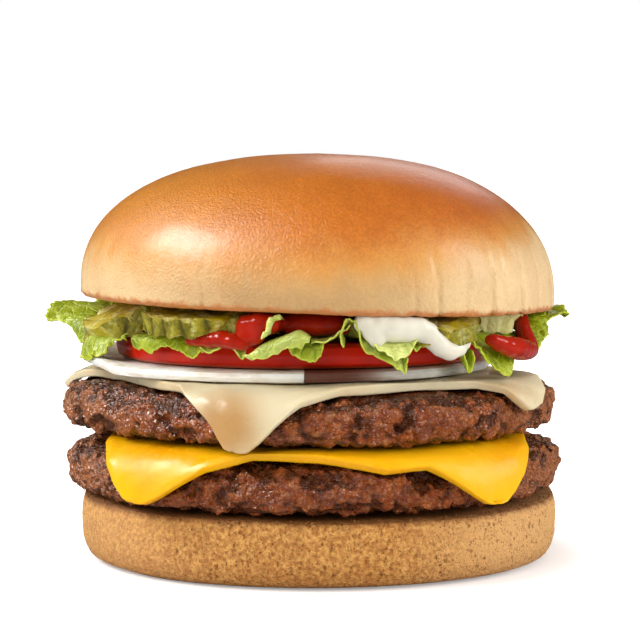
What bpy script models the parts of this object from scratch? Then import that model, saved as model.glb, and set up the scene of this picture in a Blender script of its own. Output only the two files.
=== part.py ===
"""A double cheeseburger: two beef patties, each under its own slice of cheese, then onion, tomato, lettuce, pickle
chips, ketchup and mayonnaise, between the heel and the crown of a soft bun.

The origin is the centre of the heel's flat underside, +Z is up, and the front of the burger faces -Y. The layers are
stacked from the bottom up, and each keeps a small gap to its neighbours. An azimuth is in degrees: 0 is the front and
90 is the +X side.
"""

import math

import bmesh
import bpy
from mathutils import Matrix, Vector, noise

MM = 0.001
GAP = 0.25 * MM  # between pieces that touch

# Driving sizes
BUN_RADIUS = 52.6 * MM
HEEL_HEIGHT = 14.8 * MM
CROWN_HEIGHT = 32.7 * MM
CROWN_SLOPE = 1.95  # degrees: the crown's cut face rises to the -X side
DOME_SLOPE = 0.25  # degrees: and its top a little less
CROWN_SEAT = 56.35 * MM  # height of the middle of the crown's cut face over the origin
PATTY_RADIUS = 54.2 * MM
LOWER_PATTY_THICKNESS = 11.7 * MM
UPPER_PATTY_THICKNESS = 10.55 * MM
YELLOW_SLICE_SIDE = 89.0 * MM
YELLOW_SLICE_THICKNESS = 2.0 * MM
WHITE_SLICE_SIDE = 82.0 * MM
WHITE_SLICE_THICKNESS = 1.7 * MM
ONION_THICKNESS = 2.4 * MM
ONION_RADIUS = 45.3 * MM
TOMATO_THICKNESS = 5.1 * MM
TOMATO_RADIUS = 41.5 * MM
LEAF_THICKNESS = 0.7 * MM
SAUCE_THICKNESS = 1.1 * MM
SAG = 2.8 * MM  # how far the soft layers over the tomato droop past its rim

# Where each layer starts, from the bottom up
LOWER_PATTY_BASE = HEEL_HEIGHT + GAP
YELLOW_SLICE_BASE = LOWER_PATTY_BASE + LOWER_PATTY_THICKNESS + GAP
UPPER_PATTY_BASE = YELLOW_SLICE_BASE + YELLOW_SLICE_THICKNESS + GAP
WHITE_SLICE_BASE = UPPER_PATTY_BASE + UPPER_PATTY_THICKNESS + GAP
ONION_BASE = WHITE_SLICE_BASE + WHITE_SLICE_THICKNESS + GAP
TOMATO_BASE = ONION_BASE + ONION_THICKNESS + GAP
LEAF_BASE = TOMATO_BASE + TOMATO_THICKNESS + GAP
PICKLE_BASE = LEAF_BASE + LEAF_THICKNESS + GAP

TOMATO_CENTRE = Vector((-3.0, -1.0)) * MM
ONION_CENTRE = Vector((-7.5, -1.0)) * MM
ONION_CUT = -3.0 * MM  # where the slice is cut in two


def direction(azimuth):
    """The level unit vector at this azimuth."""
    turn = math.radians(azimuth)
    return Vector((math.sin(turn), -math.cos(turn)))


def azimuth_of(point):
    return math.degrees(math.atan2(point.x, -point.y))


def apart(azimuth, other):
    """Degrees from one azimuth to another, the short way round."""
    return (azimuth - other + 180) % 360 - 180


def bump(azimuth, centre, width):
    """A smooth bump of height 1 round one azimuth."""
    return math.exp(-((apart(azimuth, centre) / width) ** 2))


def bumps(azimuth, listed):
    """The sum of bumps: azimuth, width in degrees and height in millimetres."""
    return sum(height * MM * bump(azimuth, at, width) for at, width, height in listed)


def ease(low, high, value):
    """0 below low and 1 above high, with a smooth step between them."""
    share = min(1.0, max(0.0, (value - low) / (high - low)))
    return share * share * (3 - 2 * share)


def waviness(azimuth, seed):
    """A slow wave round the burger, from about -1 to 1, that closes on itself."""
    turn = math.radians(azimuth)
    return (
        0.5 * math.sin(2 * turn + seed)
        + 0.3 * math.sin(5 * turn + 2.3 * seed)
        + 0.2 * math.sin(9 * turn + 4.1 * seed)
    )


def finish(name, colour, roughness):
    """A plain food surface; the colour is red, green and blue as seen on a screen, from 0 to 255."""
    material = bpy.data.materials.new(name)
    material.use_nodes = True
    shader = material.node_tree.nodes["Principled BSDF"]
    linear = [(channel / 255) ** 2.2 for channel in colour]
    shader.inputs["Base Color"].default_value = (*linear, 1)
    shader.inputs["Roughness"].default_value = roughness
    shader.inputs["Metallic"].default_value = 0.0
    material.diffuse_color = (*linear, 1)
    return material


def add_part(name, mesh, material, smooth_under=50):
    """Makes the object of a finished bmesh. Edges that bend more than smooth_under degrees stay sharp."""
    data = bpy.data.meshes.new(name)
    mesh.to_mesh(data)
    mesh.free()
    data.materials.append(material)
    data.shade_smooth()
    data.set_sharp_from_angle(angle=math.radians(smooth_under))
    part = bpy.data.objects.new(name, data)
    bpy.context.scene.collection.objects.link(part)
    return part


def turned(profile, steps, place):
    """A closed shape, spun from a profile of (share of the radius, share of the height) that runs from the axis on
    top, round the side, to the axis below. place(share, azimuth, level) says where each point goes."""
    mesh = bmesh.new()
    points = [mesh.verts.new((share, 0, level)) for share, level in profile]
    edges = [mesh.edges.new(ends) for ends in zip(points, points[1:])]
    bmesh.ops.spin(
        mesh,
        geom=points + edges,
        cent=(0, 0, 0),
        axis=(0, 0, 1),
        dvec=(0, 0, 0),
        angle=math.tau,
        steps=steps,
        use_merge=True,
    )
    bmesh.ops.remove_doubles(mesh, verts=mesh.verts, dist=1e-5)
    bmesh.ops.recalc_face_normals(mesh, faces=mesh.faces)
    for vert in mesh.verts:
        share = math.hypot(vert.co.x, vert.co.y)
        vert.co = place(share, azimuth_of(vert.co), vert.co.z)
    return mesh


def sheet(across, along, place):
    """An open sheet of quads over the two lists of shares. place(a, b) says where each point goes, and the faces
    point up where a grows to the right and b away from the eye."""
    mesh = bmesh.new()
    rows = [[mesh.verts.new(place(a, b)) for a in across] for b in along]
    for near, far in zip(rows, rows[1:]):
        for i in range(len(across) - 1):
            mesh.faces.new((near[i], near[i + 1], far[i + 1], far[i]))
    return mesh


def thicken(part, thickness, offset):
    """Gives a sheet its thickness: offset 1 adds it all above the sheet, 0 half on each side."""
    solidify = part.modifiers.new("thickness", "SOLIDIFY")
    solidify.thickness = thickness
    solidify.offset = offset


class Patty:
    """A hand-pressed patty: thick, cracked at the rim, and a little larger than the bun."""

    # share of the radius, share of the thickness
    PROFILE = (
        (0.0, 1.0),
        (0.55, 1.0),
        (0.86, 1.0),
        (0.94, 0.93),
        (0.985, 0.75),
        (1.0, 0.5),
        (0.99, 0.22),
        (0.96, 0.04),
        (0.91, 0.0),
        (0.0, 0.0),
    )
    STEPS = 48
    EDGE_BEND = 5.0 * MM  # radius that a slice takes over the rim
    LUMP_SIZE = 7.0 * MM
    LUMP_DEPTH = 1.2 * MM

    def __init__(self, base, thickness, lean, lobes, rises, sags, seed):
        """lean is how far it lies to the +X side. lobes, rises and sags are where the rim goes further outwards, up
        and down: azimuth, width in degrees and distance in millimetres."""
        self.base = base
        self.thickness = thickness
        self.lean = lean
        self.lobes = lobes
        self.rises = rises
        self.sags = sags
        self.seed = seed

    def rim(self, azimuth):
        """The largest radius at this azimuth, before the lumps cut into it."""
        sideways = self.lean * MM * math.sin(math.radians(azimuth))
        return PATTY_RADIUS + sideways + 0.4 * MM * waviness(azimuth, self.seed) + bumps(azimuth, self.lobes)

    def rise(self, azimuth, share):
        """How far the top swells up towards the rim, which a slice on it follows."""
        return ease(0.84, 0.98, share) * bumps(azimuth, self.rises)

    def place(self, share, azimuth, level):
        outwards = direction(azimuth)
        flat = outwards * share * self.rim(azimuth)
        point = Vector((*flat, self.base + level * self.thickness))
        lump = noise.noise(point / self.LUMP_SIZE + Vector((self.seed, 0, 0)))
        inwards = ease(0.86, 0.98, share) * self.LUMP_DEPTH * (0.5 - 0.5 * lump)
        point.x -= inwards * outwards.x
        point.y -= inwards * outwards.y
        point.z += level * self.rise(azimuth, share)
        point.z -= (1 - level) * ease(0.88, 1.0, share) * bumps(azimuth, self.sags)
        return point

    def build(self, name, material):
        return add_part(name, turned(self.PROFILE, self.STEPS, self.place), material, 70)


def draped(point, rim, bend, top, steepest=82):
    """Where a point of a flat sheet comes to lie on a round thing: level on its top, bent round its rim, and then
    hanging down its side."""
    reach = math.hypot(point.x, point.y)
    outwards = direction(azimuth_of(point))
    start = rim - bend
    past = max(0.0, reach - start)
    angle = min(past / bend, math.radians(steepest))
    hang = past - angle * bend
    radius = min(reach, start) + bend * math.sin(angle) + hang * math.cos(angle)
    drop = bend * (1 - math.cos(angle)) + hang * math.sin(angle)
    return Vector((*(outwards * radius), top - drop))


def cheese_slice(name, patty, side, thickness, base, centre, turn, rounding, flows, material):
    """A square slice that has melted over a patty, so that its corners hang down the patty's side. flows are where
    its edge has run: azimuth, width in degrees, millimetres outwards and degrees sideways."""
    # shares of half the side: close together where the slice bends
    half = (0.3, 0.52, 0.68, 0.8, 0.9, 0.97, 1.0)
    shares = [-share for share in reversed(half)] + [0.0] + list(half)
    clearance = 0.75 * MM

    def place(a, b):
        # melting pulls the middle of each side in and rounds the corners
        pull = 0.015 * (math.cos(a * math.pi / 2) * abs(b) ** 6 + math.cos(b * math.pi / 2) * abs(a) ** 6)
        corner = rounding * abs(a * b) ** 10
        flat = Vector((a, b)) * (side / 2) * (1 - pull - corner)
        flat.rotate(Matrix.Rotation(math.radians(turn), 2))
        flat += Vector(centre) * MM
        azimuth = azimuth_of(flat)
        reach = flat.length
        edge = max(abs(a), abs(b)) ** 6
        for at, width, outwards, sideways in flows:
            near = edge * bump(azimuth_of(flat), at, width)
            reach += outwards * MM * near
            azimuth += sideways * near
        rim = patty.rim(azimuth) + clearance
        top = base + patty.rise(azimuth, reach / rim)
        return draped(direction(azimuth) * reach, rim, patty.EDGE_BEND, top)

    part = add_part(name, sheet(shares, shares, place), material)
    thicken(part, thickness, 1)
    return part


def bun_heel(material):
    """The cut bottom half: nearly upright sides, and a rounded lower edge on a flat underside."""
    profile = (
        (0.0, 1.0),
        (0.6, 1.0),
        (0.93, 1.0),
        (0.985, 0.98),
        (1.0, 0.88),
        (1.0, 0.42),
        (0.985, 0.2),
        (0.955, 0.06),
        (0.91, 0.0),
        (0.0, 0.0),
    )

    def place(share, azimuth, level):
        radius = share * (BUN_RADIUS + 0.4 * MM * waviness(azimuth, 1.7) * share)
        height = HEEL_HEIGHT * level
        if level > 0.5:
            height -= 0.4 * MM * ease(0.8, 1.0, share) * (1 + waviness(azimuth, 0.4))
        return Vector((*(direction(azimuth) * radius), height))

    return add_part("bun_heel", turned(profile, 44, place), material)


def crown_underside(x):
    """Height of the crown's cut face, which slopes because the filling is thicker on the -X side."""
    return CROWN_SEAT - x * math.tan(math.radians(CROWN_SLOPE))


def bun_crown(material):
    """The domed top half, a superellipse in section, with its widest point just over the cut."""
    widest_at = 2.7 * MM
    power = 2.28
    flattened = 1.01  # the dome is this much taller than its flattened top
    lean = -0.4 * MM
    dome_height = (CROWN_HEIGHT - widest_at) * flattened
    angles = [math.radians(a) for a in (90, 75, 61, 48, 36, 25, 14, 4)]
    dome = [
        (math.cos(a) ** (2 / power), (widest_at + dome_height * math.sin(a) ** (2 / power)) / CROWN_HEIGHT)
        for a in angles
    ]
    dome[0] = (0.0, 1.0)
    profile = dome + [(0.994, 0.03), (0.982, 0.006), (0.95, 0.0), (0.0, 0.0)]

    def place(share, azimuth, level):
        radius = share * (BUN_RADIUS + 0.3 * MM * waviness(azimuth, 3.1) * share)
        flat = direction(azimuth) * radius
        flat.x += lean
        slope = math.radians(CROWN_SLOPE + (DOME_SLOPE - CROWN_SLOPE) * level)
        return Vector((*flat, CROWN_SEAT + CROWN_HEIGHT * level - flat.x * math.tan(slope)))

    return add_part("bun_crown", turned(profile, 46, place), material, 40)


def cut_disc(centre, radius, base, thickness, bulge, steps, seed, lift):
    """The mesh of a slice cut across a round vegetable: two flat faces and a barrel-shaped skin. lift(point), if
    there is one, bends it up."""
    bends_at = [0.87] if lift else []
    side = ((1 - 1.2 * bulge, 1.0), (1 - 0.3 * bulge, 0.86), (1.0, 0.5), (1 - 0.3 * bulge, 0.14), (1 - 1.2 * bulge, 0.0))
    profile = [(share, 1.0) for share in [0.0] + bends_at] + list(side) + [(share, 0.0) for share in bends_at + [0.0]]

    def place(share, azimuth, level):
        reach = share * radius * (1 + 0.015 * waviness(azimuth, seed))
        flat = Vector(centre) + direction(azimuth) * reach
        return Vector((*flat, base + level * thickness + (lift(flat) if lift else 0)))

    return turned(profile, steps, place)


def onion_slices(material):
    """A wide slice, cut in two halves that lie side by side, carries the tomato. The end of the left half curls up
    over the patty's rim."""

    def curl(point):
        azimuth = azimuth_of(point)
        past = point.length - tomato_rim(azimuth)
        return 1.6 * MM * ease(2.6 * MM, 8 * MM, past) * (1 - ease(-70, -56, azimuth))

    for name, side in (("onion_left", -1), ("onion_right", 1)):
        mesh = cut_disc(ONION_CENTRE, ONION_RADIUS, ONION_BASE, ONION_THICKNESS, 0.03, 40, 0.3, curl)
        bmesh.ops.bisect_plane(
            mesh,
            geom=mesh.verts[:] + mesh.edges[:] + mesh.faces[:],
            plane_co=(ONION_CUT + side * GAP / 2, 0, 0),
            plane_no=(side, 0, 0),
            clear_inner=True,
        )
        bmesh.ops.holes_fill(mesh, edges=mesh.edges)
        add_part(name, mesh, material)


def tomato_rim(azimuth):
    """Distance from the burger's axis to the tomato's skin at this azimuth."""
    along = direction(azimuth).dot(TOMATO_CENTRE)
    return along + math.sqrt(along**2 + TOMATO_RADIUS**2 - TOMATO_CENTRE.length_squared)


def sag(point):
    """How far the soft layers over the tomato have drooped at this point, as a share of the whole."""
    past = point.length - tomato_rim(azimuth_of(point))
    return ease(1.5 * MM, 10 * MM, past)


def leaf(name, base, thickness, sizes, material):
    """A torn piece that lies flat on the tomato, and ruffles where it sticks out.

    sizes are its azimuth and how many degrees it spans at the edge, the radii where it starts, where its ruffle
    starts (outside the tomato) and where it ends, then, at the edge, how far it rises, how much more it rises to the
    +azimuth side than in the middle, and how far it swings up and down in how many waves, and the number of columns
    of faces."""
    azimuth, spread, inner, start, reach, rise, tilt, ruffle, waves, columns = sizes
    along = (0.0, 0.5, 0.72, 0.87, 1.0)
    across = [2 * i / columns - 1 for i in range(columns + 1)]

    def place(a, b):
        torn = 1 - 0.10 * abs(a) ** 3 + 0.02 * math.sin(9 * a + azimuth)
        radius = inner + (reach * torn - inner) * b
        at = azimuth - a * spread / 2 * (0.55 + 0.45 * b)
        bends_at = max(start, tomato_rim(at) / MM + 2.0)
        out = ease(bends_at, reach, radius)
        swing = math.sin(math.pi * waves * a + 0.6)
        height = base + thickness / 2 + (rise - tilt * a + ruffle * swing) * MM * out
        return Vector((*(direction(at) * radius * MM), height))

    part = add_part(name, sheet(across, along, place), material)
    thicken(part, thickness, 0)
    return part


def lettuce(material):
    for name, *sizes in (
        ("lettuce_left", -100, 24, 30, 45, 61.5, 2.4, -5.2, 0.8, 1.5, 6),
        ("lettuce_left_back", -125.5, 22, 30, 45, 53.5, 3.6, 0, 1.2, 2.0, 6),
        ("lettuce_front_left", -45, 52, 30, 42, 52.5, -3.3, 0.4, 0.9, 4.0, 14),
        ("lettuce_centre", -3, 22, 28, 47.2, 52.5, -0.4, 0, 2.4, 1.5, 8),
        ("lettuce_front_right", 18, 18, 26, 42, 50, -4.2, 0, 1.2, 2.0, 7),
        ("lettuce_small", 32, 7, 26, 42, 49, -4.6, 0, 0.4, 1.0, 3),
        ("lettuce_right_front", 44, 14, 26, 41, 50, -6.2, 0, 0.6, 1.5, 5),
        ("lettuce_right_side", 69, 21, 26, 39.5, 50.3, -5.0, 0, 0.5, 1.5, 5),
        ("lettuce_right", 94, 26, 26, 41, 55.0, 1.6, 1.8, 1.0, 2.0, 7),
        ("lettuce_back", 165, 108, 26, 46.3, 52.5, -0.8, 0, 2.0, 6.0, 18),
    ):
        leaf(name, LEAF_BASE, LEAF_THICKNESS, sizes, material)


def pickle_chip(name, centre, radius, thickness, turn, base, droop, material):
    """A crinkle-cut chip: both faces are cut in the same waves, and the skin runs round it as a wavy band. droop is
    how much of the sag past the tomato it follows."""
    wavelength = 7.3 * MM
    swing = 0.6 * MM
    stations = 14
    across = [2 * i / stations - 1 for i in range(stations + 1)]

    def place(a, b):
        x = 0.985 * radius * a
        half_chord = math.sqrt(radius**2 - x**2)
        wave = swing * math.sin(math.tau * x / wavelength)
        flat = Vector((x, half_chord * b))
        flat.rotate(Matrix.Rotation(math.radians(turn), 2))
        flat += Vector(centre)
        height = base + swing + thickness / 2 + wave - droop * SAG * sag(flat)
        return Vector((*flat, height))

    # the side that droops has the narrower row of faces
    part = add_part(name, sheet(across, (-1.0, -0.5, 1.0), place), material, 60)
    thicken(part, thickness, 0)
    return part


def pickles(material):
    # centre x and y, radius, thickness, turn, height over the lettuce, share of the sag
    for name, x, y, radius, thickness, turn, over, droop in (
        ("pickle_1", -36.8, -10.5, 13.0, 4.0, 28, 0.0, 1.2),
        ("pickle_2", -22.5, -32.5, 13.0, 2.9, 0, 1.3, 0.2),
        ("pickle_3", 16.0, -33.5, 12.5, 2.8, -12, 0.25, 0.8),
        ("pickle_4", 32.5, -14.0, 12.0, 2.6, 15, 0.1, 1.0),
        ("pickle_5", 20.0, 27.0, 13.0, 2.8, 40, 0.0, 0.0),
        ("pickle_6", -14.0, 30.0, 13.0, 3.4, -35, 0.0, 0.0),
    ):
        centre = (x * MM, y * MM)
        base = PICKLE_BASE + over * MM
        pickle_chip(name, centre, radius * MM, thickness * MM, turn, base, droop, material)


def sauce_drop(azimuth, radius, top, bottom, width, depth):
    """The mesh of a drop that hangs at this place: narrow above, and full below."""
    profile = (
        (0.0, 1.0),
        (0.45, 0.98),
        (0.62, 0.75),
        (0.92, 0.45),
        (1.0, 0.26),
        (0.75, 0.06),
        (0.0, 0.0),
    )
    outwards = direction(azimuth)
    aside = direction(azimuth + 90)

    def place(share, turn, level):
        round_it = direction(turn)
        flat = outwards * (radius * MM + round_it.x * share * depth * MM / 2)
        flat += aside * (round_it.y * share * width * MM / 2)
        return Vector((*flat, bottom + (top - bottom) * level))

    mesh = turned(profile, 14, place)
    bmesh.ops.recalc_face_normals(mesh, faces=mesh.faces)
    return mesh


def ketchup(material):
    """A pool in the middle that runs forward between two pickles and ends in a drop, a smear under the left pickle,
    and a drop over the right one."""
    profile = (
        (0.0, 1.0),
        (0.6, 1.0),
        (0.9, 0.9),
        (1.0, 0.5),
        (0.93, 0.12),
        (0.8, 0.0),
        (0.0, 0.0),
    )
    base = PICKLE_BASE + 0.1 * MM

    def place(share, azimuth, level):
        # more of the points go to the front, where the pool runs out
        at = azimuth - 40 * math.sin(math.radians(azimuth))
        runs_out = ease(-16, -12, at) * (1 - ease(-1, 6, at))
        radius = 17 + 1.5 * waviness(at, 5.0) + 29.5 * runs_out
        flat = direction(at) * radius * share * MM
        top = crown_underside(flat.x) - GAP
        return Vector((*flat, base + (top - base) * level))

    pool = add_part("ketchup", turned(profile, 30, place), material)
    drop = add_part(
        "ketchup_front_drop",
        sauce_drop(-12.9, 46.7, crown_underside(-12 * MM) - GAP - 0.1 * MM, base, 10.2, 5.4),
        material,
    )
    drop.hide_render = True
    joined = pool.modifiers.new("front drop", "BOOLEAN")
    joined.operation = "UNION"
    joined.solver = "EXACT"
    joined.object = drop

    leaf("ketchup_left", PICKLE_BASE + 0.1 * MM, 1.0 * MM, (-28, 18, 36, 46.5, 50.4, -1.0, 0, 0.2, 2.0, 7), material)

    top = crown_underside(46 * MM) - GAP
    side_drop = sauce_drop(55.5, 50.7, top, top - 9.2 * MM, 12.0, 3.0)
    add_part("ketchup_right", side_drop, material)


def mayonnaise(material):
    """A spoonful at the front that hangs over the edge in two soft folds."""
    # azimuth, width in degrees, length
    folds = ((11.0, 3.0, 2.2), (30.0, 5.0, 5.0))
    along = (0.0, 0.45, 0.65, 0.78, 0.9, 1.0)
    columns = 12
    across = [i / columns for i in range(columns + 1)]
    inner = 46.3
    rim = 51.3 * MM
    bend = 1.6 * MM

    def place(a, b):
        azimuth = 8 + 28 * a
        fold = sum(length * bump(azimuth, at, width) for at, width, length in folds)
        edge = 53.8 + fold - 1.5 * (2 * a - 1) ** 4
        flat = direction(azimuth) * (inner + (edge - inner) * b) * MM
        top = crown_underside(flat.x) - GAP - SAUCE_THICKNESS / 2
        return draped(flat, rim, bend, top)

    mesh = sheet(across, along, place)
    bmesh.ops.reverse_faces(mesh, faces=mesh.faces)
    part = add_part("mayonnaise", mesh, material)
    thicken(part, SAUCE_THICKNESS, 0)
    return part


def main():
    for old in list(bpy.data.objects):
        bpy.data.objects.remove(old)

    crust = finish("bun", (215, 150, 85), 0.45)
    beef = finish("beef", (105, 55, 35), 0.4)
    yellow_cheese = finish("yellow_cheese", (246, 190, 30), 0.3)
    white_cheese = finish("white_cheese", (232, 216, 178), 0.3)
    onion = finish("onion", (226, 226, 212), 0.3)
    tomato = finish("tomato", (165, 35, 20), 0.25)
    green_leaf = finish("lettuce", (160, 175, 55), 0.4)
    pickle = finish("pickle", (150, 140, 50), 0.3)
    red_sauce = finish("ketchup", (150, 35, 18), 0.15)
    white_sauce = finish("mayonnaise", (228, 224, 210), 0.25)

    lower = Patty(
        LOWER_PATTY_BASE,
        LOWER_PATTY_THICKNESS,
        lean=-1.1,
        lobes=((-88, 9, 0.9), (-68, 5, -2.0), (72, 6, -1.0), (87, 10, 0.9)),
        rises=((-88, 18, 0.7), (88, 18, 0.9)),
        sags=(),
        seed=2.0,
    )
    upper = Patty(
        UPPER_PATTY_BASE,
        UPPER_PATTY_THICKNESS,
        lean=-1.6,
        lobes=((-84, 16, 1.1), (-52, 6, -0.8), (75, 7, -0.8)),
        rises=((-72, 18, 0.9), (57, 14, 0.9)),
        sags=((-88, 22, 1.0), (12, 32, 0.9)),
        seed=6.5,
    )

    bun_heel(crust)
    lower.build("patty_lower", beef)
    cheese_slice(
        "cheese_yellow",
        lower,
        YELLOW_SLICE_SIDE,
        YELLOW_SLICE_THICKNESS,
        YELLOW_SLICE_BASE,
        (-0.3, -6.5),
        0,
        0.075,
        ((36, 7, -0.7, 0), (25, 5, -1.4, 0), (11, 9, 3.9, 0), (1, 7, 1.4, 0), (-30, 8, 1.0, 0)),
        yellow_cheese,
    )
    upper.build("patty_upper", beef)
    cheese_slice(
        "cheese_white",
        upper,
        WHITE_SLICE_SIDE,
        WHITE_SLICE_THICKNESS,
        WHITE_SLICE_BASE,
        (-1.5, -9.0),
        24.5,
        0.085,
        (
            (-33, 6, -2.6, 0.0),
            (-17, 9, 2.2, 1.5),
            (20, 9, -2.4, 0.0),
            (36, 10, -3.6, 0.0),
            (60, 14, 1.0, -5.0),
            (-101, 14, 4.0, 6.0),
        ),
        white_cheese,
    )
    onion_slices(onion)
    tomato_disc = cut_disc(TOMATO_CENTRE, TOMATO_RADIUS, TOMATO_BASE, TOMATO_THICKNESS, 0.03, 38, 4.0, None)
    add_part("tomato_slice", tomato_disc, tomato)
    lettuce(green_leaf)
    pickles(pickle)
    ketchup(red_sauce)
    mayonnaise(white_sauce)
    bun_crown(crust)


main()
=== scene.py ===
import math
import random

import bmesh
import bpy
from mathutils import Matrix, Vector, noise


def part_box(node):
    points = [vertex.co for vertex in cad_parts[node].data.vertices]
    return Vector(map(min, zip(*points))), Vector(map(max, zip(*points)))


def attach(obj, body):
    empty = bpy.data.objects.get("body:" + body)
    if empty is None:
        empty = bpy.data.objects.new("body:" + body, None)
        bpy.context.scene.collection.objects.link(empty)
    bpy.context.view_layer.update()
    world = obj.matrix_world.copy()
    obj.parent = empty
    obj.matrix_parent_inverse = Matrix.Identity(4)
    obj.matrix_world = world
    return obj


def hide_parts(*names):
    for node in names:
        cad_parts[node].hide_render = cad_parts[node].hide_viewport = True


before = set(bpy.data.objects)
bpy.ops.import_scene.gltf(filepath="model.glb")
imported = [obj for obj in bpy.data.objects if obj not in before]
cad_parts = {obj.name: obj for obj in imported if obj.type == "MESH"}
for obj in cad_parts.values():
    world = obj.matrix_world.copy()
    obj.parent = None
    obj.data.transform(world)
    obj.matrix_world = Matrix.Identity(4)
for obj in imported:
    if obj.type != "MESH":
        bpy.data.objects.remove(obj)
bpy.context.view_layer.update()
mm = 0.001
print("frame loaded:", len(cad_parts), "nodes")


def deselectAll():
    if bpy.context.mode != "OBJECT":
        bpy.ops.object.mode_set(mode="OBJECT")
    bpy.ops.object.select_all(action="DESELECT")


def pick(piece):
    deselectAll()
    piece.select_set(True)
    bpy.context.view_layer.objects.active = piece
    return piece


def named(name):
    piece = bpy.context.object
    piece.name = name
    piece.data.name = name
    return piece


def copyOf(node, name, crease=0.0, sharpness=38):
    # a node's own form, as closed quads, ready to be shaped further; its sharp edges can stay crisp
    pick(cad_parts[node])
    bpy.ops.object.duplicate()
    piece = named(name)
    for key in list(piece.keys()):
        del piece[key]
    piece.parent = None
    piece.data.materials.clear()
    bpy.ops.object.mode_set(mode="EDIT")
    bpy.ops.mesh.select_all(action="SELECT")
    bpy.ops.mesh.remove_doubles(threshold=0.00002)
    bpy.ops.mesh.tris_convert_to_quads(face_threshold=math.radians(50), shape_threshold=math.radians(50))
    if crease:
        bpy.ops.mesh.select_all(action="DESELECT")
        bpy.ops.mesh.edges_select_sharp(sharpness=math.radians(sharpness))
        bpy.ops.transform.edge_crease(value=crease)
    bpy.ops.object.mode_set(mode="OBJECT")
    return piece


def modify(piece, kind, **settings):
    # adds one modifier and applies it at once
    pick(piece)
    modifier = piece.modifiers.new(kind.title(), kind)
    for key, value in settings.items():
        setattr(modifier, key, value)
    bpy.ops.object.modifier_apply(modifier=modifier.name)
    return piece


def subdivided(piece, levels):
    return modify(piece, "SUBSURF", levels=levels, render_levels=levels)


def softEdged(piece, width, segments=2):
    return modify(piece, "BEVEL", width=width, segments=segments, limit_method="ANGLE", angle_limit=math.radians(40))


def shaped(piece, group):
    # applies a geometry node group as a modifier
    return modify(piece, "NODES", node_group=group)


def refine(piece, wanted, cuts):
    # cuts the wanted faces finer, both ways
    pick(piece)
    bpy.ops.object.mode_set(mode="EDIT")
    bpy.ops.mesh.select_mode(type="FACE")
    bpy.ops.mesh.select_all(action="DESELECT")
    mesh = bmesh.from_edit_mesh(piece.data)
    for face in mesh.faces:
        face.select = bool(wanted(face))
    bmesh.update_edit_mesh(piece.data)
    bpy.ops.mesh.subdivide(number_cuts=cuts)
    bpy.ops.object.mode_set(mode="OBJECT")
    return piece


def refineRound(piece, inner, cuts):
    # cuts only the level edges outside this radius, so that the side gets more columns but no more rows
    pick(piece)
    bpy.ops.object.mode_set(mode="EDIT")
    bpy.ops.mesh.select_mode(type="EDGE")
    bpy.ops.mesh.select_all(action="DESELECT")
    mesh = bmesh.from_edit_mesh(piece.data)
    for edge in mesh.edges:
        first, second = (vert.co for vert in edge.verts)
        along = (second - first).normalized()
        around = Vector((-first.y, first.x, 0)).normalized()
        edge.select = min(first.xy.length, second.xy.length) > inner and abs(along.dot(around)) > 0.8
    bmesh.update_edit_mesh(piece.data)
    bpy.ops.mesh.subdivide(number_cuts=cuts)
    bpy.ops.object.mode_set(mode="OBJECT")
    return piece


def serve(piece, material, slot, *nodes):
    # dresses a finished piece and puts it on the burger in place of its CAD nodes
    pick(piece)
    bpy.ops.object.shade_smooth()
    piece.data.materials.clear()
    piece.data.materials.append(material)
    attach(piece, "root")
    if nodes:
        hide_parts(*nodes)
    triangles = sum(len(face.vertices) - 2 for face in piece.data.polygons)
    print("made", piece.name, triangles, "triangles")
    return piece


def turned(spot):
    # from azimuth in degrees (0 at the front, 90 at the right), radius and height to a place
    angle = math.radians(spot[0])
    return Vector((math.sin(angle) * spot[1], -math.cos(angle) * spot[1], spot[2]))


def curve(points, share):
    # a smooth line through the points (Catmull-Rom); share runs from 0 to 1
    span = share * (len(points) - 1)
    at = min(int(span), len(points) - 2)
    t = span - at
    a, b, c, d = (Vector(points[min(max(at + k, 0), len(points) - 1)]) for k in (-1, 0, 1, 2))
    return 0.5 * (2 * b + (c - a) * t + (2 * a - 5 * b + 4 * c - d) * t * t + (3 * b - a - 3 * c + d) * t ** 3)


def put(tree, kind, inputs=None, **settings):
    # one node with its settings and inputs; an input is a value or another node's output
    made = tree.nodes.new(kind)
    for key, value in settings.items():
        setattr(made, key, value)
    for key, value in (inputs or {}).items():
        socket = made.inputs[key]
        if isinstance(value, bpy.types.NodeSocket):
            tree.links.new(value, socket)
        else:
            socket.default_value = value
    return made


def calc(tree, operation, *values):
    return put(tree, "ShaderNodeMath", dict(enumerate(values)), operation=operation).outputs[0]


def spread(tree, value, low, high, toLow=0.0, toHigh=1.0):
    # a smooth ramp from toLow to toHigh while the value goes from low to high
    inputs = {"Value": value, "From Min": low, "From Max": high, "To Min": toLow, "To Max": toHigh}
    return put(tree, "ShaderNodeMapRange", inputs, interpolation_type="SMOOTHSTEP").outputs[0]


def blend(tree, factor, first, second, mode="MIX"):
    mix = put(tree, "ShaderNodeMix", data_type="RGBA", blend_type=mode)
    for index, value in ((0, factor), (6, first), (7, second)):
        if isinstance(value, bpy.types.NodeSocket):
            tree.links.new(value, mix.inputs[index])
        else:
            mix.inputs[index].default_value = value
    return mix.outputs[2]


def grain(tree, place, scale, detail=2.0, roughness=0.5, distortion=0.0):
    inputs = {"Vector": place, "Scale": scale, "Detail": detail, "Roughness": roughness, "Distortion": distortion}
    return put(tree, "ShaderNodeTexNoise", inputs).outputs[0]


def cells(tree, place, scale, feature="F1", smoothness=0.4):
    inputs = {"Vector": place, "Scale": scale}
    if feature == "SMOOTH_F1":
        inputs["Smoothness"] = smoothness
    return put(tree, "ShaderNodeTexVoronoi", inputs, feature=feature).outputs[0]


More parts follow.
